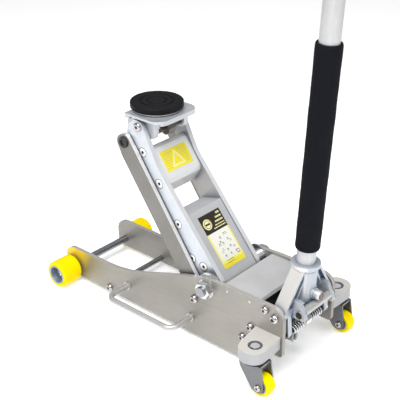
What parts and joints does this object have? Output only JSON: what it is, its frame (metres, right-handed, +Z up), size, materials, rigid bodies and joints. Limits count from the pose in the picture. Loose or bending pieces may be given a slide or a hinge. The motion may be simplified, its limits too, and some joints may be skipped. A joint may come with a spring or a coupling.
{
  "type": "trolley jack",
  "caption": "Low-profile aluminium trolley jack with wheeled side-plate chassis, hinged lift arm, self-levelling rubber saddle and upright pump handle.",
  "frame": {"origin": "on the floor, at the middle of the footprint of the whole jack as modelled (arm part raised, handle upright)", "axes": "+X forward towards the saddle end, +Y to the left side, +Z up"},
  "size_m": [0.6213, 0.304, 1.1648],
  "materials": {
    "plate": "satin anodised taupe",
    "arm_paint": "satin silver paint",
    "cast": "satin cast",
    "zinc": "bright zinc plate",
    "chrome": "polished",
    "steel": "ground",
    "black_steel": "black oxide",
    "pad": "matt moulded",
    "foam": "soft foam",
    "grip": "moulded",
    "tyre": "satin",
    "hub": "satin grey",
    "label": "printed film"
  },
  "bodies": {
    "chassis": {"left_side_plate": "plate", "right_side_plate": "plate", "front_axle": "zinc", "cross_tubes": "zinc", "carry_handles": "zinc", "caster_blocks": "plate", "king_bolts": "zinc", "caster_bearings": "steel", "arm_pivot_shaft": "steel", "arm_pivot_nuts": "zinc", "arm_pivot_spacers": "zinc", "pivot_bolts": "chrome", "plate_screws": "chrome", "pump_block": "cast", "ram_cylinder": "steel", "cover_plate": "plate", "handle_stop_blocks": "black_steel"},
    "lift_arm": {"left_arm_cheek": "arm_paint", "right_arm_cheek": "arm_paint", "upper_cross_plate": "arm_paint", "lower_cross_plate": "arm_paint", "arm_screws": "zinc", "arm_labels": "label", "arm_crank_sleeve": "cast", "ram_pin": "steel"},
    "left_link": {"left_level_link": "plate"},
    "right_link": {"right_level_link": "plate"},
    "bracket": {"saddle_bracket": "arm_paint", "bracket_pivot_screws": "chrome", "link_upper_pins": "black_steel", "bracket_cross_rod": "steel"},
    "saddle": {"saddle_cup": "cast", "saddle_pad": "pad", "saddle_retainer": "black_steel"},
    "ram": {"ram_piston": "steel"},
    "pump": {"pump_plungers": "steel"},
    "valve": {"release_valve": "steel"},
    "socket": {"handle_socket": "cast", "clamp_screw": "zinc", "roller_shaft": "steel", "return_springs": "black_steel", "socket_tie_shaft": "zinc"},
    "roller": {"pump_roller": "zinc"},
    "handle": {"lower_tube": "arm_paint", "foam_sleeve": "foam", "upper_tube": "arm_paint", "handle_grip": "grip"},
    "button": {"lock_button": "zinc"},
    "left_front_wheel": {"left_front_hub": "hub", "left_front_tyre": "tyre"},
    "right_front_wheel": {"right_front_hub": "hub", "right_front_tyre": "tyre"},
    "left_caster_swivel": {"left_caster_fork": "zinc", "left_caster_axle": "zinc"},
    "right_caster_swivel": {"right_caster_fork": "zinc", "right_caster_axle": "zinc"},
    "left_caster_wheel": {"left_caster_hub": "hub", "left_caster_tyre": "tyre"},
    "right_caster_wheel": {"right_caster_hub": "hub", "right_caster_tyre": "tyre"}
  },
  "joints": [
    {"name": "arm_lift", "type": "hinge", "parent": "chassis", "child": "lift_arm", "pos_m": [-0.0805, 0, 0.123], "axis": [0, -1, 0], "range_deg": [-64.1, 18.3]},
    {"name": "left_link_swing", "type": "hinge", "parent": "chassis", "child": "left_link", "pos_m": [-0.052, 0.0625, 0.0885], "axis": [0, -1, 0], "range_deg": [-64.1, 18.3]},
    {"name": "right_link_swing", "type": "hinge", "parent": "chassis", "child": "right_link", "pos_m": [-0.052, -0.0625, 0.0885], "axis": [0, -1, 0], "range_deg": [-64.1, 18.3]},
    {"name": "bracket_level", "type": "hinge", "parent": "lift_arm", "child": "bracket", "pos_m": [0.10239, 0, 0.38131], "axis": [0, -1, 0], "range_deg": [-18.3, 64.1]},
    {"name": "saddle_turn", "type": "hinge", "parent": "bracket", "child": "saddle", "pos_m": [0.10739, 0, 0.4043], "axis": [0, 0, 1], "continuous": true},
    {"name": "ram_slide", "type": "slide", "parent": "chassis", "child": "ram", "axis": [1, 0, 0], "range_m": [-0.03622, 0.01048]},
    {"name": "socket_tilt", "type": "hinge", "parent": "chassis", "child": "socket", "pos_m": [-0.2345, 0, 0.1255], "axis": [0, -1, 0], "range_deg": [0, 50], "stiffness_Nm_per_rad": 8, "springref_deg": -28.65},
    {"name": "pump_slide", "type": "slide", "parent": "chassis", "child": "pump", "axis": [1, 0, 0], "range_m": [0, 0.03457]},
    {"name": "roller_spin", "type": "hinge", "parent": "socket", "child": "roller", "pos_m": [-0.24397, 0, 0.08593], "axis": [0, 1, 0], "continuous": true},
    {"name": "handle_twist", "type": "hinge", "parent": "socket", "child": "handle", "pos_m": [-0.2345, 0, 0.1255], "axis": [-0.0541, 0, 0.9985], "range_deg": [0, 120]},
    {"name": "valve_turn", "type": "hinge", "parent": "chassis", "child": "valve", "pos_m": [-0.217, 0, 0.04], "axis": [1, 0, 0], "range_deg": [0, 120]},
    {"name": "lock_button_press", "type": "slide", "parent": "handle", "child": "button", "axis": [0.9985, 0, 0.0541], "range_m": [0, 0.003], "stiffness_N_per_m": 800, "springref_m": -0.002},
    {"name": "left_front_wheel_spin", "type": "hinge", "parent": "chassis", "child": "left_front_wheel", "pos_m": [0.283, 0.1065, 0.0278], "axis": [0, 1, 0], "continuous": true},
    {"name": "right_front_wheel_spin", "type": "hinge", "parent": "chassis", "child": "right_front_wheel", "pos_m": [0.283, -0.1065, 0.0278], "axis": [0, 1, 0], "continuous": true},
    {"name": "left_caster_swivel", "type": "hinge", "parent": "chassis", "child": "left_caster_swivel", "pos_m": [-0.228, 0.124, 0.067], "axis": [0, 0, 1], "continuous": true},
    {"name": "left_caster_wheel_spin", "type": "hinge", "parent": "left_caster_swivel", "child": "left_caster_wheel", "pos_m": [-0.2474, 0.124, 0.02], "axis": [0, 1, 0], "continuous": true},
    {"name": "right_caster_swivel", "type": "hinge", "parent": "chassis", "child": "right_caster_swivel", "pos_m": [-0.228, -0.124, 0.067], "axis": [0, 0, 1], "continuous": true},
    {"name": "right_caster_wheel_spin", "type": "hinge", "parent": "right_caster_swivel", "child": "right_caster_wheel", "pos_m": [-0.2474, -0.124, 0.02], "axis": [0, 1, 0], "continuous": true}
  ],
  "couplings": [
    {"joint": "left_link_swing", "follows": "arm_lift", "ratio": 1},
    {"joint": "right_link_swing", "follows": "arm_lift", "ratio": 1},
    {"joint": "bracket_level", "follows": "arm_lift", "ratio": -1},
    {"joint": "ram_slide", "follows": "arm_lift", "m_per_rad": 0.0322},
    {"joint": "pump_slide", "follows": "socket_tilt", "m_per_rad": 0.0395},
    {"joint": "valve_turn", "follows": "handle_twist", "ratio": 1}
  ]
}
